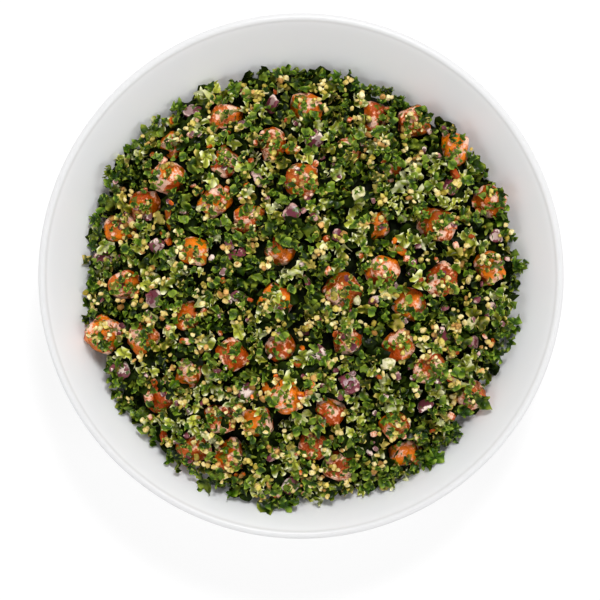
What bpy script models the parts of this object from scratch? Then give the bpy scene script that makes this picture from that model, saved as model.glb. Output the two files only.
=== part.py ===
"""A tabbouleh salad heaped in a wide white porcelain bowl.

Metres, +Z up. The origin is at the middle of the bowl's foot, on the surface that it stands on.
"""

import math

import bmesh
import bpy
from mathutils import Vector, noise

# The bowl.
RIM_RADIUS = 0.100
BOWL_HEIGHT = 0.066
WALL = 0.0032
WALL_CURVE = 2.7  # the inner wall rises with this power of the radius
FOOT_RADIUS = 0.039
FOOT_WIDTH = 0.0042
FOOT_RECESS = 0.0026  # from the surface up to the bowl's bottom, in the middle of the foot
BASE = 0.0040  # thickness of the bottom, inside the foot
FOOT_ROUNDING = 0.0008
INNER_STEPS = 12
OUTER_STEPS = 9
BASE_STEPS = 3
LIP_STEPS = 5
ROUND_STEPS = 64

# The salad.
HEAP_RADIUS = 0.083
HEAP_SHIFT = 0.0042  # the heap lies this much off the bowl's middle, towards -Y
HEAP_WAVE = 0.0016  # how far its outline wavers
CROWN_HEIGHT = 0.079  # top of the heap, without its lumps
DOME_POWER = 0.66  # below 1, so that the edge of the heap is blunt
HEAP_GAP = 0.0005  # between the salad and the bowl
HEAP_DETAIL = 5  # subdivisions of the icosphere that the heap is shaped from
TOP_SHARE = 0.75  # share of that sphere which becomes the heap's top
OUTLINE_SNAP = 0.98  # points further out than this share lie on the outline itself
DICE_SIZE = 0.0135  # spacing of the lumps made by tomato dice
DICE_RISE = 0.0042
LEAF_SIZE = 0.0090  # spacing of the lumps made by chopped parsley
LEAF_RISE = 0.0024
LUMP_REACH = 0.75  # share of the spacing over which a lump falls away
EDGE_LUMP = 0.0030  # how far the lumps push the heap's outline out and in

BASE_TOP = FOOT_RECESS + BASE
INNER_RADIUS = RIM_RADIUS - WALL
LIP_RADIUS = WALL / 2

PORCELAIN_COLOUR = (0.85, 0.85, 0.84, 1.0)
PARSLEY_COLOUR = (0.09, 0.17, 0.02, 1.0)


def clear_scene():
    for obj in list(bpy.data.objects):
        bpy.data.objects.remove(obj)


def material(name, colour, roughness):
    made = bpy.data.materials.new(name)
    made.use_nodes = True
    shader = made.node_tree.nodes["Principled BSDF"]
    shader.inputs["Base Color"].default_value = colour
    shader.inputs["Roughness"].default_value = roughness
    shader.inputs["Metallic"].default_value = 0.0
    return made


def inner_height(radius):
    """Height of the bowl's inner surface at this distance from its axis."""
    depth = BOWL_HEIGHT - LIP_RADIUS - BASE_TOP
    return BASE_TOP + depth * (radius / INNER_RADIUS) ** WALL_CURVE


def inner_slope(radius):
    depth = BOWL_HEIGHT - LIP_RADIUS - BASE_TOP
    return depth * WALL_CURVE / INNER_RADIUS * (radius / INNER_RADIUS) ** (WALL_CURVE - 1)


def outer_point(radius):
    """(radius, height) on the outer wall, one wall thickness out from the inner wall."""
    slope = inner_slope(radius)
    length = math.hypot(1.0, slope)
    return radius + WALL * slope / length, inner_height(radius) - WALL / length


def lip_points():
    """The round lip, from the inner wall over the top to the outer wall."""
    tilt = math.atan(inner_slope(INNER_RADIUS))
    outer_radius, outer_height = outer_point(INNER_RADIUS)
    middle_radius = (INNER_RADIUS + outer_radius) / 2
    middle_height = (inner_height(INNER_RADIUS) + outer_height) / 2
    points = []
    for step in range(1, LIP_STEPS):
        angle = tilt + math.pi / 2 - math.pi * step / LIP_STEPS
        points.append(
            (middle_radius + LIP_RADIUS * math.cos(angle), middle_height + LIP_RADIUS * math.sin(angle))
        )
    return points


def foot_points():
    """The ring that the bowl stands on, from its outer side to its inner side."""
    inside = FOOT_RADIUS - FOOT_WIDTH
    return [
        (FOOT_RADIUS, FOOT_ROUNDING),
        (FOOT_RADIUS - FOOT_ROUNDING, 0.0),
        (inside + FOOT_ROUNDING, 0.0),
        (inside, FOOT_ROUNDING),
    ]


def base_points():
    """The underside of the bottom, one base thickness under the inner surface, in to the middle."""
    inside = FOOT_RADIUS - FOOT_WIDTH - FOOT_ROUNDING
    radii = [inside * (1.0 - step / BASE_STEPS) for step in range(BASE_STEPS + 1)]
    return [(radius, inner_height(radius) - BASE) for radius in radii]


def bowl_profile():
    """(radius, height) points from the middle of the inside, over the lip, to the middle of the underside."""
    inner = [INNER_RADIUS * step / INNER_STEPS for step in range(INNER_STEPS + 1)]
    outer = [
        INNER_RADIUS + (FOOT_RADIUS - INNER_RADIUS) * step / OUTER_STEPS for step in range(OUTER_STEPS + 1)
    ]
    return (
        [(radius, inner_height(radius)) for radius in inner]
        + lip_points()
        + [outer_point(radius) for radius in outer]
        + foot_points()
        + base_points()
    )


def make_bowl(collection):
    points = [(radius, 0.0, height) for radius, height in bowl_profile()]
    mesh = bpy.data.meshes.new("bowl")
    mesh.from_pydata(points, [(i, i + 1) for i in range(len(points) - 1)], [])
    bowl = bpy.data.objects.new("bowl", mesh)
    collection.objects.link(bowl)
    turn = bowl.modifiers.new("turn", "SCREW")
    turn.steps = ROUND_STEPS
    turn.render_steps = ROUND_STEPS
    turn.use_merge_vertices = True
    turn.merge_threshold = 0.00001
    turn.use_smooth_shade = True
    mesh.materials.append(material("white porcelain", PORCELAIN_COLOUR, 0.2))
    return bowl


def outline_radius(angle):
    """Distance from the bowl's axis to the salad's edge in this direction, without the lumps."""
    waver = 0.6 * math.sin(3 * angle + 0.6) + 0.4 * math.sin(7 * angle + 2.0)
    return HEAP_RADIUS - HEAP_SHIFT * math.sin(angle) + HEAP_WAVE * waver


def smooth_top(share, angle):
    """Height of the heap without its lumps, at this share of the way from its middle to its edge."""
    edge = inner_height(outline_radius(angle))
    return edge + (CROWN_HEIGHT - edge) * max(0.0, 1.0 - share * share) ** DOME_POWER


def lumps(x, y, spacing):
    """Rounded lumps about one spacing apart: 1 on top of a lump and 0 between lumps."""
    distances, _ = noise.voronoi(Vector((x, y, 0.0)) / spacing)
    return max(0.0, 1.0 - (distances[0] / LUMP_REACH) ** 2)


def underside(radius):
    return inner_height(radius) + HEAP_GAP * math.hypot(1.0, inner_slope(radius))


def heap_point(place):
    """Where a point of the unit sphere goes: the sphere's top spreads over the heap's top by equal areas,
    and its lower cap spreads over the heap's underside.
    """
    angle = math.atan2(place.y, place.x)
    parting = 1.0 - 2.0 * TOP_SHARE
    on_top = place.z > parting
    if on_top:
        share = math.sqrt((1.0 - place.z) / (1.0 - parting))
    else:
        share = math.sqrt(max(0.0, (1.0 + place.z) / (1.0 + parting)))
    share = min(1.0, share / OUTLINE_SNAP)
    outline = outline_radius(angle)
    edge_lump = lumps(outline * math.cos(angle), outline * math.sin(angle), LEAF_SIZE) - 0.5
    radius = share * outline + share**4 * EDGE_LUMP * edge_lump
    x, y = radius * math.cos(angle), radius * math.sin(angle)
    floor = underside(radius)
    if not on_top:
        return Vector((x, y, floor))
    rise = DICE_RISE * lumps(x, y, DICE_SIZE) + LEAF_RISE * lumps(x, y, LEAF_SIZE)
    sunk = (DICE_RISE + LEAF_RISE) / 2  # the lumps' tops and hollows lie evenly about the smooth heap
    height = smooth_top(share, angle) + rise - sunk
    return Vector((x, y, max(height, floor + LEAF_RISE)))


def make_salad(collection):
    shape = bmesh.new()
    bmesh.ops.create_icosphere(shape, subdivisions=HEAP_DETAIL, radius=1.0)
    for vertex in shape.verts:
        vertex.co = heap_point(vertex.co)
    bmesh.ops.recalc_face_normals(shape, faces=shape.faces)
    mesh = bpy.data.meshes.new("salad")
    shape.to_mesh(mesh)
    shape.free()
    mesh.shade_smooth()
    salad = bpy.data.objects.new("salad", mesh)
    collection.objects.link(salad)
    mesh.materials.append(material("chopped parsley", PARSLEY_COLOUR, 0.5))
    return salad


def main():
    clear_scene()
    collection = bpy.data.collections.new("tabbouleh_bowl")
    bpy.context.scene.collection.children.link(collection)
    make_bowl(collection)
    make_salad(collection)


main()
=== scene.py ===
"""A bowl of tabbouleh salad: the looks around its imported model.

Metres, +Z up, in the model's own frame. The bowl is turned again with a finer profile. The salad is put
together as a real heap is: tomato, onion, parsley and bulgur fall piece by piece on a height map, over a
smaller core.
"""

import math
from collections import namedtuple

import bmesh
import bpy
import numpy as np
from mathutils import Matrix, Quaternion, Vector, noise


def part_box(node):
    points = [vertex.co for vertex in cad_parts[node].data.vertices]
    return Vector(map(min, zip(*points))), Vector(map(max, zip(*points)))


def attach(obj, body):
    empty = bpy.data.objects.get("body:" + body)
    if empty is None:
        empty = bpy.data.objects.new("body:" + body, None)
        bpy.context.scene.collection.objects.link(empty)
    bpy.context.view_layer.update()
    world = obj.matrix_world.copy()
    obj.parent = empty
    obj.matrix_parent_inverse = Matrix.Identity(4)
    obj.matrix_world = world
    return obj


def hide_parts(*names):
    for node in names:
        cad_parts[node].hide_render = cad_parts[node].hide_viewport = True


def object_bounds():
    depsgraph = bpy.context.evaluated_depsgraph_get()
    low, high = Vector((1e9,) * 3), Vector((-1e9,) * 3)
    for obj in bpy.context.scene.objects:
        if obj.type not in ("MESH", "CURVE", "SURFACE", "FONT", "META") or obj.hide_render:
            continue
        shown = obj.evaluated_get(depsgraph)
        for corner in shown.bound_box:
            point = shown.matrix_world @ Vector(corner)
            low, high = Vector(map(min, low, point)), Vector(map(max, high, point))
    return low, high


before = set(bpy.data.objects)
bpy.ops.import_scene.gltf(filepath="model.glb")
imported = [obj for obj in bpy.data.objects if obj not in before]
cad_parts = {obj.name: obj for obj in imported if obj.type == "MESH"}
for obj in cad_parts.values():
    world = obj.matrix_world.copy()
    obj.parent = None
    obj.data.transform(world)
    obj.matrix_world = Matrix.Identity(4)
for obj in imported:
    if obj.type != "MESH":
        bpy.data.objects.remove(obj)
cad_low, cad_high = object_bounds()

TAU = 2.0 * math.pi
rng = np.random.default_rng(1907)
noise.seed_set(7)

# ------------------------------------------------------------------ sizes

# The bowl's section, as in the model.
RIM_RADIUS = 0.100
BOWL_HEIGHT = 0.066
WALL = 0.0032
WALL_CURVE = 2.7  # the inner wall rises with this power of the radius
FOOT_RADIUS = 0.039
FOOT_WIDTH = 0.0042
FOOT_RECESS = 0.0026
BASE = 0.0040
FOOT_ROUNDING = 0.0008
LIP_RADIUS = WALL / 2
BASE_TOP = FOOT_RECESS + BASE
INNER_RADIUS = RIM_RADIUS - WALL
WALL_RISE = BOWL_HEIGHT - LIP_RADIUS - BASE_TOP

# The bowl's steps, finer than the model's.
WALL_STEPS = 48
LIP_STEPS = 12
FOOT_STEPS = 5  # of each rounded edge of the foot
BASE_STEPS = 8
ROUND_STEPS = 224

# Where painted shade greys the glaze (toward the lip, on its crest and at its outer edge), as distances from
# the bowl's axis.
UPPER_SPAN = (0.078, 0.0955)
CREST_SPAN = (0.0961, 0.0972)
EDGE_SPAN = (0.0978, 0.0992)

# The heap. Its loose edge reaches a little past the outline of the model's solid.
HEAP_RADIUS = 0.0848
HEAP_SHIFT = 0.0034  # it lies this much off the bowl's middle, towards -Y
HEAP_WAVE = 0.0016  # how far its outline wavers
DOME_POWER = 0.66  # below 1, so that the edge of the heap is blunt
LUMP_RISE = 0.0025  # about how far the model's own lumps rise over its crown
CROWN_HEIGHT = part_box("salad")[1].z - LUMP_RISE

# Left free between the bowl and what lies on it.
LEAF_GAP = 0.0002
BIG_PIECE_GAP = 0.0003
CORE_GAP = 0.0003
CORE_EDGE_GAP = 0.0004

# The core under the loose pieces.
CORE_DEPTH = 0.0110  # from the heap's surface down to the core
CORE_INSET = 0.0050  # from the heap's outline in to the core's
CORE_ROUND_STEPS = 160
CORE_RINGS = 52
CORE_UNDER_SHARES = (0.96, 0.80, 0.60, 0.40, 0.20)  # of its outline, for the rings of its underside
FINE_SIZE, FINE_RISE = 0.0021, 0.0007  # of its relief
COARSE_SIZE, COARSE_RISE = 0.0052, 0.0012
RELIEF_REACH = 0.97  # share of its outline within which it has relief

# The dark hollows between clumps of parsley.
CLUMP_SIZE = 0.0095
BEND_SIZE = 0.009  # of the swells that bend the clumps' borders
BEND_SHARE = 0.35
CREVICE_DEPTH = 0.0130
CREVICE_SHARE = 1.05  # how wide a hollow is, as a share of a clump
CREVICE_POWER = 0.75  # below 1, so that a hollow is wide at its bottom
CREVICE_USUAL = 0.85  # share of its depth that a hollow usually has
CREVICE_SWING = 1.4  # how far that share goes up and down with the swells
MOAT_WIDTH = 0.0038  # of the hollow round each big piece
MOAT_DEPTH = 0.0068

# Clumps that are darker or lighter than others.
TONE_SIZE = 0.0080
TONE_SWING = 1.9
CLUMP_WEIGHT = 0.82
SCRAP_WEIGHT = 0.18

# The height map.
CELL = 0.0005
HALF_MAP = 0.1
POUR_REACH = 0.985  # share of the heap's outline within which leaves fall
TRIES_PER_PLACE = 60  # to find places that are spaced apart

# A scrap of parsley. Its depths are shares of its size.
FEWEST_LOBES, MOST_LOBES = 3, 5
LOBE_DEPTH = 0.16
OVAL_DEPTH = 0.18
RUFFLE_SPACING = (5.0, 6.4)  # points of the rim to each ruffle
SCALLOP_DEPTH = 0.24
SCALLOP_POWER = 0.7
CRINKLE_DEPTH = 0.05
CUP_DEPTH = 0.6
LEAF_CRUMPLES = ((1.1, 1.0), (0.45, 0.35))  # width of the swells, as a share of its size, and their weight
RIDGE_FLOOR = 0.15  # rim value at the rim, between two ridges

# A cut block, while it is still a cube 2 wide.
BLOCK_SWELLS = ((1.5, 1.0), (0.5, 0.4), (0.22, 0.2))  # their width and weight
SKIN_START = 0.55  # height at which its rim value starts to rise
SKIN_FADE = 0.35  # height over which it rises to 1

DIE_SIZE = 0.0110
GRAIN_SIZE = 0.0023
CHUNK_SIZE = 0.0019
PROUD_DICE = 39
ALL_DICE = 52  # with those that are mostly sunk in the heap
BIG_PIECES = 80  # the dice and the onion cuts
EDGE_FRONDS = 130

# ------------------------------------------------------------------ colours

GLAZE_INSIDE = (0.985, 0.990, 1.0)
# Painted shade: these greys stand in for shade on the upper wall, the outside, the lip's crest and its edge.
GLAZE_UPPER_SHADE = (0.885, 0.893, 0.912)
GLAZE_OUTSIDE_SHADE = (0.75, 0.75, 0.76)
GLAZE_CREST_SHADE = (0.69, 0.69, 0.695)
GLAZE_EDGE_SHADE = (0.70, 0.70, 0.705)

# Painted shade, mixed into the middle and hollows of each parsley scrap.
LEAF_HOLLOW_SHADE = (0.002, 0.004, 0.0004)

TOMATO_DEEP = (0.38, 0.045, 0.0008)
TOMATO_BRIGHT = (0.97, 0.235, 0.003)
TOMATO_SHADE = (0.10, 0.012, 0.001)
TOMATO_SKIN = (0.44, 0.060, 0.003)
TOMATO_PULP = (0.92, 0.30, 0.13)
# Pale pink, partly the paler pulp and partly a painted highlight.
TOMATO_FLESH_HIGHLIGHT = (0.99, 0.62, 0.46)
DUST_DARK = (0.02, 0.05, 0.001)
DUST_LIGHT = (0.16, 0.24, 0.01)

ONION_DEEP = (0.58, 0.30, 0.26)
ONION_MILKY = (0.97, 0.80, 0.70)
ONION_BLUSH = (0.17, 0.020, 0.040)
ONION_SKIN = (0.11, 0.022, 0.035)
ONION_DUST = (0.05, 0.10, 0.004)

# Of the imported core, near black as painted shade for the hollows where it shows: each stop is (value of
# its noise, colour).
CORE_SHADE_TONES = (
    (0.35, (0.002, 0.003, 0.0006)),
    (0.60, (0.006, 0.010, 0.0015)),
    (0.80, (0.02, 0.03, 0.004)),
)

# Of each kind of parsley scrap: its deepest colour, its fresh colour, the pale that is painted as a
# highlight on its ridges and also used for its random specks, and its gloss.
PARSLEY_TONES = {
    # parsley_under, the bottom layer, is near black: painted shade for the hollows between clumps.
    "parsley_under": ((0.003, 0.006, 0.0005), (0.010, 0.020, 0.001), (0.03, 0.05, 0.005), 0.05),
    "parsley_dark": ((0.004, 0.015, 0.0003), (0.026, 0.060, 0.001), (0.28, 0.34, 0.03), 0.15),
    "parsley_middle": ((0.030, 0.052, 0.001), (0.185, 0.190, 0.006), (0.86, 0.66, 0.18), 0.15),
    "parsley_light": ((0.10, 0.14, 0.003), (0.56, 0.59, 0.06), (0.99, 0.97, 0.62), 0.15),
    "parsley_sprigs": ((0.010, 0.038, 0.0006), (0.045, 0.115, 0.002), (0.28, 0.40, 0.04), 0.15),
    "parsley_flecks": ((0.016, 0.050, 0.0008), (0.085, 0.170, 0.003), (0.34, 0.44, 0.05), 0.15),
}

# Of each kind of bulgur: its darkest grain, its lightest grain and its stains.
BULGUR_TONES = {
    "bulgur_cream": ((0.76, 0.56, 0.20), (1.0, 0.91, 0.49), (0.64, 0.46, 0.10)),
    "bulgur_stained": ((0.42, 0.31, 0.03), (0.88, 0.72, 0.18), (0.20, 0.15, 0.01)),
    "bulgur_amber": ((0.36, 0.16, 0.03), (0.82, 0.46, 0.14), (0.24, 0.12, 0.02)),
}
CHUNK_TONES = ((0.60, 0.54, 0.26), (0.86, 0.80, 0.52), (0.36, 0.38, 0.08))

WHITE = (1.0, 1.0, 1.0)

# ------------------------------------------------------------------ the stage's values

FLOOR_WIDTH = 6.0
FLOOR_TONE = (0.29, 0.29, 0.29)
FLOOR_GLOW = 0.71
HORIZON_LIGHT = 1.12
ZENITH_LIGHT = 0.28
LAMP_AIM = Vector((0.0, 0.0, 0.05))
LAMP_DISTANCE = 1.4
# Of each lamp: its name, azimuth and elevation in degrees, width, and power in watts.
LAMPS = (
    ("key", 78.0, 64.0, 0.32, 10.8),
    ("left", 200.0, 55.0, 0.40, 2.4),
    ("right", 320.0, 55.0, 0.40, 3.2),
)
CAMERA_DISTANCE = 1.0  # above the rim
HALF_VIEW = 0.1136  # half of what it sees at the height of the rim
VIEW_MIDDLE = (-0.0004, -0.0091)
SENSOR_WIDTH = 36.0


# ------------------------------------------------------------------ small tools


def arrays_of(shape):
    """Points and triangles of a bmesh, which is freed."""
    bmesh.ops.triangulate(shape, faces=shape.faces[:])
    shape.verts.index_update()
    points = np.array([vertex.co[:] for vertex in shape.verts])
    faces = np.array([[vertex.index for vertex in face.verts] for face in shape.faces])
    shape.free()
    return points, faces


def any_seed():
    """A random place to start a smooth noise."""
    return rng.uniform(0, 50)


def smooth_noise(points, size, seed):
    """A smooth random vector, each part about -1 to 1, for each point. size is the width of its swells."""
    offset = Vector((seed * 3.7, seed * 1.3, seed * 5.1))
    return np.array([noise.noise_vector(Vector(point) / size + offset)[:] for point in points])


def disc_faces(around, rings):
    """Triangles of a disc: a middle point, then rings of this many points each, from the middle outwards."""
    here = np.arange(around)
    after = (here + 1) % around
    faces = [np.stack([np.zeros(around, int), here + 1, after + 1], axis=1)]
    for ring in range(1, rings):
        inner, outer = 1 + (ring - 1) * around, 1 + ring * around
        faces.append(np.stack([inner + here, outer + here, outer + after], axis=1))
        faces.append(np.stack([inner + here, outer + after, inner + after], axis=1))
    return np.vstack(faces)


def mesh_object(name, points, faces, material, **attributes):
    mesh = bpy.data.meshes.new(name)
    mesh.from_pydata(points, [], faces)
    mesh.shade_smooth()
    for key, values in attributes.items():
        made = mesh.attributes.new(key, "FLOAT", "POINT")
        made.data.foreach_set("value", np.asarray(values, dtype=np.float32))
    mesh.materials.append(material)
    made = bpy.data.objects.new(name, mesh)
    bpy.context.scene.collection.objects.link(made)
    return made


class Looks:
    """One material, with short calls for its nodes."""

    def __init__(self, name):
        self.material = bpy.data.materials.new(name)
        self.material.use_nodes = True
        self.tree = self.material.node_tree
        self.shader = self.tree.nodes["Principled BSDF"]
        self.place = self.tree.nodes.new("ShaderNodeTexCoord").outputs["Object"]

    def put(self, kind, inputs=(), **settings):
        """A new node with these settings, its inputs fed by key or by number."""
        node = self.tree.nodes.new(kind)
        for key, value in settings.items():
            setattr(node, key, value)
        for key, value in dict(inputs).items():
            self.feed(node.inputs[key], value)
        return node

    def feed(self, socket, value):
        if isinstance(value, bpy.types.NodeSocket):
            self.tree.links.new(value, socket)
        elif isinstance(value, tuple) and socket.type == "RGBA":
            socket.default_value = (*value, 1.0)
        else:
            socket.default_value = value

    def set(self, **values):
        """Sets the shader's own sockets, named with _ for a space."""
        for key, value in values.items():
            self.feed(self.shader.inputs[key.replace("_", " ")], value)

    def attribute(self, name):
        return self.put("ShaderNodeAttribute", attribute_name=name).outputs["Fac"]

    def noise(self, size, detail=2.0, roughness=0.5):
        """Noise from 0 to 1, mostly near 0.5. size is the width of its spots."""
        inputs = {"Vector": self.place, "Scale": 0.5 / size, "Detail": detail, "Roughness": roughness}
        return self.put("ShaderNodeTexNoise", inputs).outputs["Fac"]

    def span(self, value, low, high, to_low=0.0, to_high=1.0):
        """value from low to high becomes to_low to to_high, and stays within them."""
        names = ("Value", "From Min", "From Max", "To Min", "To Max")
        inputs = dict(zip(names, (value, low, high, to_low, to_high)))
        return self.put("ShaderNodeMapRange", inputs, interpolation_type="SMOOTHSTEP").outputs["Result"]

    def maths(self, operation, first, second):
        return self.put("ShaderNodeMath", {0: first, 1: second}, operation=operation).outputs[0]

    def mix(self, share, first, second):
        """This share of the second colour in the first."""
        inputs = {0: share, 6: first, 7: second}
        return self.put("ShaderNodeMix", inputs, data_type="RGBA").outputs[2]

    def ramp(self, value, stops):
        """Colours along a value: each stop is (place, colour)."""
        node = self.put("ShaderNodeValToRGB", {"Fac": value})
        marks = node.color_ramp.elements
        while len(marks) < len(stops):
            marks.new(0.5)
        for mark, (place, colour) in zip(marks, stops):
            mark.position = place
            mark.color = (*colour, 1.0)
        return node.outputs["Color"]

    def bump(self, height, distance, strength=1.0):
        inputs = {"Height": height, "Distance": distance, "Strength": strength}
        self.feed(self.shader.inputs["Normal"], self.put("ShaderNodeBump", inputs).outputs["Normal"])


# ------------------------------------------------------------------ materials


def porcelain():
    """White glaze, with painted shade that greys it toward the lip, along the lip and on the outside."""
    look = Looks("white_porcelain")
    level = look.put("ShaderNodeVectorMath", {0: look.place, 1: (1.0, 1.0, 0.0)}, operation="MULTIPLY")
    distance = look.put("ShaderNodeVectorMath", {0: level.outputs[0]}, operation="LENGTH")
    radius = distance.outputs["Value"]
    height = look.put("ShaderNodeSeparateXYZ", {0: look.place}).outputs["Z"]
    rise = look.maths("POWER", look.maths("DIVIDE", radius, INNER_RADIUS), WALL_CURVE)
    inner = look.maths("ADD", look.maths("MULTIPLY", rise, WALL_RISE), BASE_TOP)
    below = look.maths("SUBTRACT", inner, height)
    # Painted shade greys the upper wall, the outside, and the crest and edge of the lip.
    inside = look.mix(look.span(radius, *UPPER_SPAN), GLAZE_INSIDE, GLAZE_UPPER_SHADE)
    wall = look.mix(look.span(below, WALL * 0.3, WALL * 0.8), inside, GLAZE_OUTSIDE_SHADE)
    crest = look.mix(look.span(radius, *CREST_SPAN), wall, GLAZE_CREST_SHADE)
    edge = look.mix(look.span(radius, *EDGE_SPAN), crest, GLAZE_EDGE_SHADE)
    look.set(Base_Color=edge, Roughness=0.30, Specular_IOR_Level=0.30)
    return look.material


def leaf_look(name, deep, fresh, pale, gloss):
    """Parsley: each scrap has its own tint, with painted shade in its middle and hollows, a painted
    highlight on its ridges, and pale specks.
    """
    look = Looks(name)
    rim = look.attribute("rim")
    own = look.mix(look.attribute("tint"), deep, fresh)
    # Painted shade in the scrap's middle and hollows, then a painted highlight on its ridges.
    shaded = look.mix(look.span(rim, 0.0, 0.45), look.mix(0.65, own, LEAF_HOLLOW_SHADE), own)
    ridge_highlighted = look.mix(look.span(rim, 0.42, 0.90, to_high=0.85), shaded, pale)
    specks = look.span(look.noise(size=0.0026, detail=1.0), 0.52, 0.68, to_high=0.35)
    wet = look.span(look.noise(size=0.0030), 0.3, 0.7, to_low=0.18, to_high=0.40)
    look.set(Base_Color=look.mix(specks, ridge_highlighted, pale), Roughness=wet, Specular_IOR_Level=gloss)
    look.bump(look.noise(size=0.0010, detail=1.0), distance=0.00025, strength=0.8)
    return look.material


def tomato_look():
    """Diced tomato: wet orange-red pieces with pale pulp, pale-pink patches that are partly paler pulp and
    partly painted highlight, a redder skin side, and fine leaf dust all over.
    """
    look = Looks("diced_tomato")
    own = look.mix(look.attribute("tint"), TOMATO_DEEP, TOMATO_BRIGHT)
    lit = look.span(look.noise(size=0.0040), 0.38, 0.60)
    shaded = look.mix(lit, look.mix(0.55, own, TOMATO_SHADE), own)
    skinned = look.mix(look.span(look.attribute("rim"), 0.3, 0.8), shaded, TOMATO_SKIN)
    veins = look.noise(size=0.0026, detail=4.0, roughness=0.65)
    pulp = look.mix(look.span(veins, 0.48, 0.56, to_high=0.9), skinned, TOMATO_PULP)
    # Pale-pink patches: partly paler pulp, partly painted highlight.
    flesh_and_highlight = look.mix(look.span(veins, 0.52, 0.59, to_high=0.95), pulp, TOMATO_FLESH_HIGHLIGHT)
    dust = look.span(look.noise(size=0.0014, detail=3.0), 0.57, 0.62, to_high=0.9)
    dust_tone = look.mix(look.noise(size=0.0012), DUST_DARK, DUST_LIGHT)
    wet = look.span(look.noise(size=0.003), 0.3, 0.7, to_low=0.16, to_high=0.36)
    look.set(Base_Color=look.mix(dust, flesh_and_highlight, dust_tone), Roughness=wet, Specular_IOR_Level=0.26)
    look.bump(look.noise(size=0.0014, detail=4.0, roughness=0.6), distance=0.0014)
    return look.material


def onion_look():
    """Red onion: milky pink mottled with purple, a purple skin side, and leaf dust."""
    look = Looks("red_onion")
    own = look.mix(look.attribute("tint"), ONION_DEEP, ONION_MILKY)
    blush = look.span(look.noise(size=0.0023, detail=3.0, roughness=0.6), 0.45, 0.51, to_high=0.95)
    body = look.mix(blush, own, ONION_BLUSH)
    skin = look.span(look.attribute("rim"), 0.55, 0.95, to_high=0.85)
    skinned = look.mix(skin, body, ONION_SKIN)
    dust = look.span(look.noise(size=0.0015, detail=2.0), 0.54, 0.58, to_high=0.95)
    look.set(Base_Color=look.mix(dust, skinned, ONION_DUST), Roughness=0.25, Specular_IOR_Level=0.25)
    look.bump(look.noise(size=0.0014, detail=2.0), distance=0.0003, strength=0.6)
    return look.material


def grain_look(name, low, high, stain):
    """Soaked grain: each one has its own tint, with patches stained by the dressing."""
    look = Looks(name)
    own = look.mix(look.attribute("tint"), low, high)
    patch = look.span(look.noise(size=0.0010, detail=3.0), 0.44, 0.60, to_high=0.8)
    wet = look.span(look.noise(size=0.002), 0.3, 0.7, to_low=0.28, to_high=0.50)
    look.set(Base_Color=look.mix(patch, own, stain), Roughness=wet, Specular_IOR_Level=0.22)
    look.bump(look.noise(size=0.0008, detail=2.0), distance=0.0004, strength=0.8)
    return look.material


def core_look():
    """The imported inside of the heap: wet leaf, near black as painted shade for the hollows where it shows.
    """
    look = Looks("packed_salad")
    shade = look.noise(size=0.0022, detail=3.0, roughness=0.6)
    dry = look.span(shade, 0.3, 0.7, to_low=0.5, to_high=0.8)
    look.set(Base_Color=look.ramp(shade, CORE_SHADE_TONES), Roughness=dry, Specular_IOR_Level=0.05)
    look.bump(look.noise(size=0.0012, detail=3.0), distance=0.0008, strength=0.9)
    return look.material


# ------------------------------------------------------------------ the bowl


def inner_height(radius):
    """Height of the bowl's inner surface at this distance from its axis, also for arrays."""
    return BASE_TOP + WALL_RISE * (radius / INNER_RADIUS) ** WALL_CURVE


def inner_slope(radius):
    return WALL_RISE * WALL_CURVE / INNER_RADIUS * (radius / INNER_RADIUS) ** (WALL_CURVE - 1)


def outer_point(radius):
    """(radius, height) on the outer wall, one wall thickness out from the inner wall."""
    slope = inner_slope(radius)
    length = math.hypot(1.0, slope)
    return radius + WALL * slope / length, inner_height(radius) - WALL / length


def lip_points():
    """The round lip, from the inner wall over the top to the outer wall."""
    tilt = math.atan(inner_slope(INNER_RADIUS))
    outer_radius, outer_height = outer_point(INNER_RADIUS)
    middle_radius = (INNER_RADIUS + outer_radius) / 2
    middle_height = (inner_height(INNER_RADIUS) + outer_height) / 2
    angles = [tilt + math.pi / 2 - math.pi * step / LIP_STEPS for step in range(1, LIP_STEPS)]
    return [
        (middle_radius + LIP_RADIUS * math.cos(angle), middle_height + LIP_RADIUS * math.sin(angle))
        for angle in angles
    ]


def foot_points():
    """The foot ring's section, with both of its edges rounded."""
    middles = (FOOT_RADIUS - FOOT_ROUNDING, FOOT_RADIUS - FOOT_WIDTH + FOOT_ROUNDING)
    points = []
    for corner, middle in enumerate(middles):
        for step in range(FOOT_STEPS + 1):
            angle = -math.pi / 2 * (corner + step / FOOT_STEPS)
            points.append((middle + FOOT_ROUNDING * math.cos(angle), FOOT_ROUNDING * (1 + math.sin(angle))))
    return points


def make_bowl():
    inner = [(radius, inner_height(radius)) for radius in np.linspace(0.0, INNER_RADIUS, WALL_STEPS)]
    outer = [outer_point(radius) for radius in np.linspace(INNER_RADIUS, FOOT_RADIUS, WALL_STEPS)]
    under_radii = np.linspace(FOOT_RADIUS - FOOT_WIDTH, 0.0, BASE_STEPS)[1:]
    under = [(radius, inner_height(radius) - BASE) for radius in under_radii]
    profile = inner + lip_points() + outer + foot_points() + under
    points = [(radius, 0.0, height) for radius, height in profile]
    edges = [(i, i + 1) for i in range(len(points) - 1)]
    mesh = bpy.data.meshes.new("glazed_bowl")
    mesh.from_pydata(points, edges, [])
    mesh.materials.append(porcelain())
    bowl = bpy.data.objects.new("glazed_bowl", mesh)
    bpy.context.scene.collection.objects.link(bowl)
    turn = bowl.modifiers.new("turn", "SCREW")
    turn.steps = ROUND_STEPS
    turn.render_steps = ROUND_STEPS
    turn.use_merge_vertices = True
    turn.merge_threshold = 0.00001
    turn.use_smooth_shade = True
    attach(bowl, "root")
    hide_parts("bowl")


# ------------------------------------------------------------------ the heap's form


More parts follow.
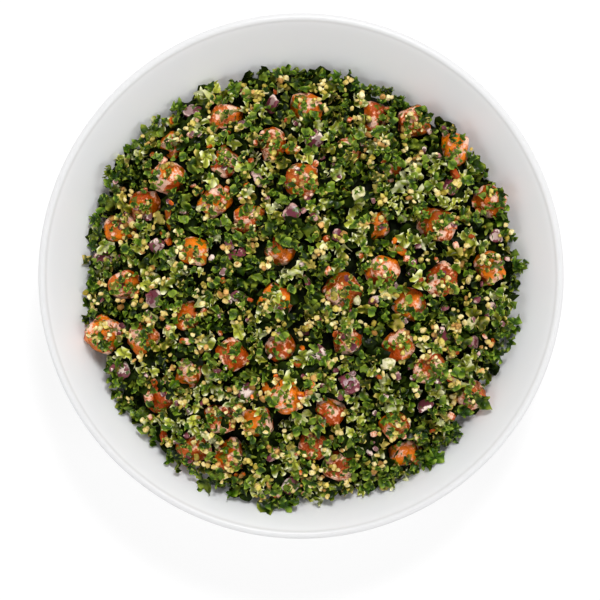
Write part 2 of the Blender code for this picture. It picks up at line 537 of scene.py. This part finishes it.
def outline_radius(angle):
    """Distance from the bowl's axis to the heap's edge in this direction."""
    waver = 0.6 * np.sin(3 * angle + 0.6) + 0.4 * np.sin(7 * angle + 2.0)
    return HEAP_RADIUS - HEAP_SHIFT * np.sin(angle) + HEAP_WAVE * waver


def heap_top(share, angle):
    """Height of the heap's surface at this share of the way from its middle to its outline."""
    edge = inner_height(outline_radius(angle))
    return edge + (CROWN_HEIGHT - edge) * np.maximum(0.0, 1.0 - share * share) ** DOME_POWER


def wall_at(points):
    """Height of the bowl's inner surface at the place of each point."""
    return inner_height(np.hypot(points[:, 0], points[:, 1]))


def kept_inside(points):
    """The points, with those that would be in the bowl's wall pressed flat against it."""
    return np.column_stack([points[:, :2], np.maximum(points[:, 2], wall_at(points) + LEAF_GAP)])


def polar(x, y):
    """(share of the way to the outline, angle) of these places."""
    angle = np.arctan2(y, x)
    return np.hypot(x, y) / outline_radius(angle), angle


def core_top(x, y):
    """Height of the core, which stays on the bowl's wall outside its own outline."""
    angle = np.arctan2(y, x)
    radius = np.hypot(x, y)
    share = radius / (outline_radius(angle) - CORE_INSET)
    return np.maximum(heap_top(np.minimum(share, 1.0), angle) - CORE_DEPTH, inner_height(radius))


def crevices(x, y):
    """Depth of the dark hollows between the clumps of leaf."""
    depth = np.zeros(x.shape)
    for i in range(x.shape[0]):
        for j in range(x.shape[1]):
            place = Vector((x[i, j], y[i, j], 0.0))
            swell = noise.noise_vector(place / BEND_SIZE)
            distances, _ = noise.voronoi(place / CLUMP_SIZE + BEND_SHARE * swell)
            border = 1.0 - min(1.0, (distances[1] - distances[0]) / CREVICE_SHARE)
            strength = min(1.0, max(0.0, CREVICE_USUAL + CREVICE_SWING * swell.x))
            depth[i, j] = CREVICE_DEPTH * border**CREVICE_POWER * strength
    return depth


class HeightMap:
    """The top of all that lies in the bowl so far, on a square grid, and the heap's surface as its goal."""

    def __init__(self):
        axis = np.arange(-HALF_MAP, HALF_MAP + CELL / 2, CELL)
        self.x, self.y = np.meshgrid(axis, axis, indexing="ij")
        share, angle = polar(self.x, self.y)
        self.goal = heap_top(np.minimum(share, 1.0), angle)
        self.top = core_top(self.x, self.y)
        self.clumps = self.goal - crevices(self.x, self.y)
        self.slope_x, self.slope_y = np.gradient(self.goal, CELL)
        self.inside = np.argwhere(share < POUR_REACH)

    def cell(self, x, y):
        return round((x + HALF_MAP) / CELL), round((y + HALF_MAP) / CELL)

    def cells(self, points):
        places = np.rint((points[:, :2] + HALF_MAP) / CELL).astype(int)
        return places[:, 0], places[:, 1]

    def rise(self, points, sink):
        """How far to raise the points so that all but this share of them are clear of what lies below."""
        return np.quantile(self.top[self.cells(points)] - points[:, 2], 1.0 - sink)

    def cover(self, points, spread=1):
        """Adds the points, each with this many cells on each side of it."""
        i, j = self.cells(points)
        for step_i in range(-spread, spread + 1):
            for step_j in range(-spread, spread + 1):
                np.maximum.at(self.top, (i + step_i, j + step_j), points[:, 2])

    def hollow_out(self, x, y, radius):
        """Keeps the leaf low round a big piece, more on one side."""
        away_x, away_y = self.x - x, self.y - y
        away = np.hypot(away_x, away_y)
        side = 0.6 + 0.4 * np.cos(np.arctan2(away_y, away_x) - rng.uniform(0, TAU))
        near = np.clip(1.0 - np.abs(away - radius - 0.5 * MOAT_WIDTH) / MOAT_WIDTH, 0.0, 1.0)
        self.clumps = np.minimum(self.clumps, self.goal - MOAT_DEPTH * near * side)

    def upright(self, i, j, share=0.7):
        """The heap's own direction here, leaning only this share of its slope."""
        return Vector((-self.slope_x[i, j] * share, -self.slope_y[i, j] * share, 1.0)).normalized()

    def lowest(self, tries):
        """The cell with the most room over it, out of this many random ones, and that room."""
        found = self.inside[rng.integers(0, len(self.inside), tries)]
        room = (self.clumps - self.top)[found[:, 0], found[:, 1]]
        best = int(np.argmax(room))
        return (*found[best], room[best])


# ------------------------------------------------------------------ the pieces' shapes

Shape = namedtuple("Shape", "points faces rim")


def leaf_shape(length, around, rings, ruffle, crumple):
    """A scrap of curly parsley: a lobed disc whose rim ruffles up and down and in and out, then crumpled.

    Its rim value is 0 at its middle, low in its hollows, and 1 on the ridges at its rim.
    """
    turn = np.arange(around) * TAU / around
    lobes = rng.integers(FEWEST_LOBES, MOST_LOBES + 1)
    edge = 1.0 - LOBE_DEPTH + LOBE_DEPTH * np.cos(lobes * turn + rng.uniform(0, TAU))
    edge += OVAL_DEPTH * np.cos(2 * turn + rng.uniform(0, TAU))
    share = (np.arange(rings) + 1.0)[:, None] / rings
    phase = round(around / rng.uniform(*RUFFLE_SPACING)) * turn + rng.uniform(0, TAU) + 0.8 * share
    scallop = SCALLOP_DEPTH * (np.abs(np.cos(phase / 2)) ** SCALLOP_POWER - 0.5)
    radius = length * share * (1.0 + (edge - 1.0) * share + share * scallop)
    crinkle = CRINKLE_DEPTH * share**2 * np.where(np.arange(around) % 2, 1.0, -1.0)
    cup = rng.uniform(-CUP_DEPTH, CUP_DEPTH) * share**2
    height = length * (ruffle * share**1.5 * np.sin(phase) + crinkle + cup)
    rounds = np.stack([radius * np.cos(turn), radius * np.sin(turn), height], axis=-1).reshape(-1, 3)
    points = np.vstack([np.zeros((1, 3)), rounds])
    seed = any_seed()
    for step, (width, weight) in enumerate(LEAF_CRUMPLES):
        points += weight * crumple * length * smooth_noise(points, width * length, seed + 20 * step)
    ridge = share * (RIDGE_FLOOR + (1.0 - RIDGE_FLOOR) * (0.5 + 0.5 * np.sin(phase)))
    return Shape(points, disc_faces(around, rings), np.concatenate([[0.0], ridge.ravel()]))


def block_shape(sizes, cuts, squareness, waver):
    """A cut block with rounded edges and uneven faces. Its rim value is 1 on the +Z face."""
    shape = bmesh.new()
    bmesh.ops.create_cube(shape, size=2.0)
    bmesh.ops.subdivide_edges(shape, edges=shape.edges[:], cuts=cuts, use_grid_fill=True)
    points, faces = arrays_of(shape)
    reach = (np.abs(points) ** squareness).sum(axis=1) ** (-1.0 / squareness)
    points = points * reach[:, None]
    rim = np.clip((points[:, 2] - SKIN_START) / SKIN_FADE, 0.0, 1.0)
    seed = any_seed()
    for width, weight in BLOCK_SWELLS:
        points += weight * waver * smooth_noise(points, width, seed + width)
    return Shape(points * np.array(sizes) / 2, faces, rim)


def dice_shape():
    sizes = DIE_SIZE * rng.uniform(0.84, 1.14, 3)
    return block_shape(sizes, cuts=10, squareness=rng.uniform(2.6, 4.4), waver=0.21)


def onion_shape():
    """A square cut of one onion layer, bent as the layer is, with the skin on its outer side."""
    length = rng.uniform(0.0052, 0.0090)
    width = rng.uniform(0.0042, 0.0062)
    thick = rng.uniform(0.0016, 0.0024)
    block = block_shape((length, width, thick), cuts=7, squareness=4.0, waver=0.26)
    points = block.points
    bend = rng.uniform(0.008, 0.014)
    angle = points[:, 0] / bend
    reach = bend + points[:, 2]
    points = np.stack([reach * np.sin(angle), points[:, 1], reach * np.cos(angle) - bend], axis=1)
    return Shape(points, block.faces, block.rim * rng.uniform(0.2, 1.0))


def chopped_shape(low, high):
    """A small uneven bit left by the knife, its longest side between low and high."""
    sizes = rng.uniform(low, high) * np.array([1.0, rng.uniform(0.6, 0.9), rng.uniform(0.4, 0.7)])
    return block_shape(sizes, cuts=3, squareness=rng.uniform(2.5, 5.0), waver=0.30)


def chunk_shape():
    """A rounded, uneven lump."""
    sizes = CHUNK_SIZE * rng.uniform(0.7, 1.35, 3)
    shape = bmesh.new()
    bmesh.ops.create_icosphere(shape, subdivisions=3, radius=1.0)
    points, faces = arrays_of(shape)
    points += 0.60 * smooth_noise(points, 0.9, any_seed())
    return Shape(points * sizes, faces, np.zeros(len(points)))


def grain_shape():
    """A cracked, swollen grain of bulgur."""
    sizes = GRAIN_SIZE * np.array([rng.uniform(0.9, 1.3), rng.uniform(0.7, 1.0), rng.uniform(0.55, 0.85)])
    return block_shape(sizes, cuts=3, squareness=rng.uniform(2.2, 4.0), waver=0.42)


# ------------------------------------------------------------------ places for the pieces


def spaced_places(count, gap, reach):
    """Up to count (x, y) places in the heap, at least gap apart, out to this share of its outline."""
    found = []
    for _ in range(count * TRIES_PER_PLACE):
        x, y = rng.uniform(-HALF_MAP, HALF_MAP, 2)
        if polar(x, y)[0] > reach:
            continue
        if all((x - a) ** 2 + (y - b) ** 2 > gap**2 for a, b in found):
            found.append((x, y))
        if len(found) == count:
            break
    return found


def clumped_places(count, size, bias, reach):
    """Random (x, y) places, more of them in clumps about size wide."""
    found = []
    while len(found) < count:
        x, y = rng.uniform(-HALF_MAP, HALF_MAP, 2)
        if polar(x, y)[0] > reach:
            continue
        thick = 0.5 + 0.5 * noise.noise(Vector((x / size, y / size, 3.0))) * 1.6
        if rng.uniform() < min(1.0, max(0.04, thick)) ** bias:
            found.append((x, y))
    return found


def places_around(places, count, spread):
    """This many places beside each of these, most of them within this spread of it."""
    return [(x + rng.normal(0.0, spread), y + rng.normal(0.0, spread)) for x, y in places * count]


def edge_places(count):
    """Random places along the heap's outline, just inside it."""
    found = []
    for angle in np.sort(rng.uniform(0, TAU, count)):
        reach = outline_radius(angle) - rng.uniform(0.0008, 0.0055)
        found.append((reach * math.cos(angle), reach * math.sin(angle)))
    return found


# ------------------------------------------------------------------ laying the pieces


class Kind:
    """All the pieces of one kind, joined as they are laid."""

    def __init__(self, name, material, slot=None):
        self.name, self.material, self.slot = name, material, slot
        self.points, self.faces, self.tints, self.rims = [], [], [], []
        self.count = 0

    def add(self, shape, points, tint):
        self.points.append(points)
        self.faces.append(shape.faces + self.count)
        self.tints.append(np.full(len(points), tint))
        self.rims.append(shape.rim)
        self.count += len(points)

    def finish(self):
        piece = mesh_object(
            self.name,
            np.vstack(self.points),
            np.vstack(self.faces),
            self.material,
            tint=np.concatenate(self.tints),
            rim=np.concatenate(self.rims),
        )
        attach(piece, "root")


def placed(shape, upright, lean, scale=1.0):
    """The shape's points, turned at random, with its Z axis within about lean radians of upright."""
    spin = Quaternion((0.0, 0.0, 1.0), rng.uniform(0, TAU))
    direction = rng.uniform(0, TAU)
    tilt = Quaternion((math.cos(direction), math.sin(direction), 0.0), rng.normal(0.0, lean))
    turn = Vector((0.0, 0.0, 1.0)).rotation_difference(upright) @ tilt @ spin
    return scale * shape.points @ np.array(turn.to_matrix()).T


def any_way(shape):
    """The shape's points, turned in any direction."""
    turn = Quaternion(Vector(rng.normal(size=4))).normalized()
    return shape.points @ np.array(turn.to_matrix()).T


def lay_big(heap, kind, shapes, places, spread, sink_range, lean=None):
    """Sets big pieces into the heap's surface, their tops within sink_range of the goal. They lie any way
    round, or with their +Z sides up if lean is given.
    """
    for x, y in places:
        i, j = heap.cell(x, y)
        shape = shapes[rng.integers(len(shapes))]
        points = any_way(shape) if lean is None else placed(shape, heap.upright(i, j), lean)
        top = heap.goal[i, j] + rng.uniform(*sink_range)
        points = points + np.array([x, y, top - points[:, 2].max()])
        into_wall = wall_at(points) + BIG_PIECE_GAP - points[:, 2]
        points[:, 2] += max(0.0, float(into_wall.max()))
        kind.add(shape, points, rng.uniform())
        heap.cover(points, spread)
        heap.hollow_out(x, y, np.ptp(points[:, 0]) / 2)


def clump_share(x, y):
    """A random number from 0 to 1 that is alike within a clump of leaves, so that clumps differ in tone."""
    swell = 0.5 + TONE_SWING * noise.noise(Vector((x, y, 0.5)) / TONE_SIZE)
    return min(1.0, max(0.0, CLUMP_WEIGHT * swell + SCRAP_WEIGHT * rng.uniform()))


def pour_leaves(heap, kinds, shares, shapes, count, depth, sink, lean, tries, over):
    """Drops leaf scraps where the heap is lowest, until it is within depth of its goal. A scrap that would
    stand more than over above the goal is left out. shares are running shares of the kinds, up to 1.
    """
    for _ in range(count):
        i, j, room = heap.lowest(tries)
        if room < depth:
            continue
        shape = shapes[rng.integers(len(shapes))]
        points = placed(shape, heap.upright(i, j), lean, rng.uniform(0.8, 1.2))
        points = points + np.array([heap.x[i, j], heap.y[i, j], 0.0])
        points[:, 2] += heap.rise(points, sink)
        if points[:, 2].max() > heap.goal[i, j] + over:
            continue
        points = kept_inside(points)
        kind = kinds[int(np.searchsorted(shares, clump_share(heap.x[i, j], heap.y[i, j])))]
        kind.add(shape, points, rng.uniform())
        heap.cover(points)


def sprinkle(heap, kinds, shares, shapes, places, sink, lean, scales=(0.85, 1.2)):
    """Lays small things on what is there, with this share of each one's points sunk into it."""
    for x, y in places:
        i, j = heap.cell(x, y)
        shape = shapes[rng.integers(len(shapes))]
        points = placed(shape, heap.upright(i, j), lean, rng.uniform(*scales))
        points = points + np.array([x, y, 0.0])
        points[:, 2] += heap.rise(points, sink)
        points = kept_inside(points)
        kind = kinds[rng.choice(len(kinds), p=shares)]
        kind.add(shape, points, rng.uniform())
        heap.cover(points)


# ------------------------------------------------------------------ the salad


def relief(x, y, layer, size):
    return np.array([noise.noise(Vector((a, b, layer)) / size) for a, b in zip(x, y)])


def make_core():
    """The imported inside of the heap: rings of points over its top, with fine relief, and its underside."""
    turn = np.arange(CORE_ROUND_STEPS) * TAU / CORE_ROUND_STEPS
    outline = outline_radius(turn) - CORE_INSET
    layers = []
    for ring in range(1, CORE_RINGS + 1):
        share = ring / CORE_RINGS
        radius = share * outline
        x, y = radius * np.cos(turn), radius * np.sin(turn)
        lumps = FINE_RISE * relief(x, y, 0.0, FINE_SIZE) + COARSE_RISE * relief(x, y, 4.0, COARSE_SIZE)
        height = core_top(x, y) + lumps * (share < RELIEF_REACH)
        layers.append(np.stack([x, y, np.maximum(height, inner_height(radius) + CORE_EDGE_GAP)], axis=1))
    for share in CORE_UNDER_SHARES:
        radius = share * outline
        x, y = radius * np.cos(turn), radius * np.sin(turn)
        layers.append(np.stack([x, y, inner_height(radius) + CORE_GAP], axis=1))
    top = np.array([[0.0, 0.0, float(core_top(np.zeros(1), np.zeros(1))[0])]])
    bottom = np.array([[0.0, 0.0, float(inner_height(0.0)) + CORE_GAP]])
    points = np.vstack([top, *layers, bottom])
    here = np.arange(CORE_ROUND_STEPS)
    after = (here + 1) % CORE_ROUND_STEPS
    last = 1 + (len(layers) - 1) * CORE_ROUND_STEPS
    closing = np.stack([last + here, np.full(CORE_ROUND_STEPS, len(points) - 1), last + after], axis=1)
    faces = np.vstack([disc_faces(CORE_ROUND_STEPS, len(layers)), closing])
    core = mesh_object("salad_core", points, faces, core_look())
    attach(core, "root")
    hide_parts("salad")


def parsley(name):
    return Kind(name, leaf_look(name, *PARSLEY_TONES[name]), "parsley")


def make_salad():
    make_core()
    heap = HeightMap()

    under, dark, middle, light, sprigs, flecks = (parsley(name) for name in PARSLEY_TONES)
    tomato = Kind("tomato_dice", tomato_look())
    onion = Kind("red_onion", onion_look())
    cream, stained, amber = (Kind(name, grain_look(name, *tones)) for name, tones in BULGUR_TONES.items())
    pale = Kind("pale_chunks", grain_look("pale_chunk", *CHUNK_TONES))

    coarse = [leaf_shape(0.0042, 14, 2, ruffle=0.25, crumple=0.25) for _ in range(8)]
    scraps = [
        leaf_shape(rng.uniform(0.0016, 0.0030), 22, 3, ruffle=rng.uniform(0.32, 0.48), crumple=0.50)
        for _ in range(44)
    ]
    fronds = [
        leaf_shape(rng.uniform(0.0022, 0.0036), 28, 4, ruffle=rng.uniform(0.28, 0.40), crumple=0.50)
        for _ in range(16)
    ]
    dice = [dice_shape() for _ in range(14)]
    onions = [onion_shape() for _ in range(12)]
    chopped = [chopped_shape(0.0018, 0.0042) for _ in range(14)]
    grains = [grain_shape() for _ in range(16)]
    bits = [leaf_shape(rng.uniform(0.0010, 0.0019), 14, 2, ruffle=0.40, crumple=0.5) for _ in range(10)]
    chunks = [chunk_shape() for _ in range(5)]

    pour_leaves(
        heap, [under], [1.0], coarse, count=1500, depth=0.0050, sink=0.25, lean=0.7, tries=14, over=0.0
    )

    places = spaced_places(BIG_PIECES, gap=0.0124, reach=0.93)
    proud_places = places[:PROUD_DICE]
    sunk_places = places[PROUD_DICE:ALL_DICE]
    onion_places = places[ALL_DICE:]
    lay_big(heap, tomato, dice, proud_places, spread=3, sink_range=(-0.0034, 0.0030))
    lay_big(heap, tomato, dice, sunk_places, spread=3, sink_range=(-0.0075, -0.0045))
    lay_big(heap, onion, onions, onion_places, spread=2, sink_range=(-0.0040, 0.0002), lean=0.8)

    pour_leaves(
        heap,
        [dark, middle, light],
        [0.38, 0.58, 1.0],
        scraps,
        count=14000,
        depth=0.0007,
        sink=0.20,
        lean=0.9,
        tries=4,
        over=0.0022,
    )
    edge = edge_places(EDGE_FRONDS)
    sprinkle(heap, [sprigs, dark], [0.75, 0.25], fronds, edge, sink=0.45, lean=0.8, scales=(0.7, 1.15))

    chunk_places = spaced_places(8, gap=0.02, reach=0.85)
    sprinkle(heap, [pale], [1.0], chunks, chunk_places, sink=0.3, lean=0.6)
    chopped_places = clumped_places(240, size=0.02, bias=0.4, reach=0.95)
    sprinkle(heap, [tomato, onion], [0.45, 0.55], chopped, chopped_places, sink=0.50, lean=1.2)

    bulgur, bulgur_shares = [cream, stained, amber], [0.52, 0.32, 0.16]
    clusters = clumped_places(210, size=0.016, bias=0.8, reach=0.96)
    in_clusters = places_around(clusters, 4, spread=0.0014)
    sprinkle(heap, bulgur, bulgur_shares, grains, in_clusters, sink=0.50, lean=1.2, scales=(0.5, 1.1))

    fleck_places = clumped_places(900, size=0.02, bias=0.4, reach=0.97)
    sprinkle(heap, [flecks], [1.0], bits, fleck_places, sink=0.3, lean=0.6)
    on_dice = places_around(proud_places, 9, spread=0.0028)
    sprinkle(heap, [flecks, middle], [0.7, 0.3], bits, on_dice, sink=0.4, lean=0.5, scales=(0.6, 1.1))
    by_dice = places_around(proud_places, 3, spread=0.0040)
    sprinkle(heap, [cream, stained], [0.7, 0.3], grains, by_dice, sink=0.5, lean=1.2, scales=(0.35, 0.9))

    for kind in (under, dark, middle, light, sprigs, flecks, tomato, onion, cream, stained, amber, pale):
        kind.finish()


# ------------------------------------------------------------------ stage


def make_floor():
    look = Looks("pale_floor")
    look.set(Base_Color=FLOOR_TONE, Roughness=0.9, Emission_Color=WHITE, Emission_Strength=FLOOR_GLOW)
    bpy.ops.mesh.primitive_plane_add(size=FLOOR_WIDTH)
    floor = bpy.context.object
    floor.name = "floor"
    floor.data.materials.append(look.material)


def make_world():
    """Soft white light all round, brightest at the horizon."""
    world = bpy.data.worlds.new("studio")
    world.use_nodes = True
    nodes, links = world.node_tree.nodes, world.node_tree.links
    sky = nodes["Background"]
    sky.inputs["Color"].default_value = (*WHITE, 1.0)
    place = nodes.new("ShaderNodeTexCoord")
    height = nodes.new("ShaderNodeSeparateXYZ")
    strength = nodes.new("ShaderNodeMapRange")
    links.new(place.outputs["Generated"], height.inputs[0])
    links.new(height.outputs["Z"], strength.inputs["Value"])
    strength.inputs["To Min"].default_value = HORIZON_LIGHT
    strength.inputs["To Max"].default_value = ZENITH_LIGHT
    links.new(strength.outputs[0], sky.inputs["Strength"])
    bpy.context.scene.world = world


def make_lamps():
    for name, azimuth, elevation, width, power in LAMPS:
        data = bpy.data.lights.new(name, "AREA")
        data.shape = "DISK"
        data.size = width
        data.energy = power
        lamp = bpy.data.objects.new(name, data)
        bpy.context.scene.collection.objects.link(lamp)
        turn, up = math.radians(azimuth), math.radians(elevation)
        away = Vector((math.cos(turn) * math.cos(up), math.sin(turn) * math.cos(up), math.sin(up)))
        lamp.location = LAMP_AIM + LAMP_DISTANCE * away
        lamp.rotation_mode = "QUATERNION"
        lamp.rotation_quaternion = (-away).to_track_quat("-Z", "Y")


def make_camera():
    """Straight down on the bowl, which fills most of the view and sits a little high in it."""
    data = bpy.data.cameras.new("camera")
    data.sensor_width = SENSOR_WIDTH
    data.lens = data.sensor_width / 2 * CAMERA_DISTANCE / HALF_VIEW
    camera = bpy.data.objects.new("camera", data)
    bpy.context.scene.collection.objects.link(camera)
    camera.location = (*VIEW_MIDDLE, cad_low.z + BOWL_HEIGHT + CAMERA_DISTANCE)
    bpy.context.scene.camera = camera


make_camera()
make_bowl()
make_salad()
make_floor()
make_world()
make_lamps()
bpy.context.scene.view_settings.view_transform = "Standard"
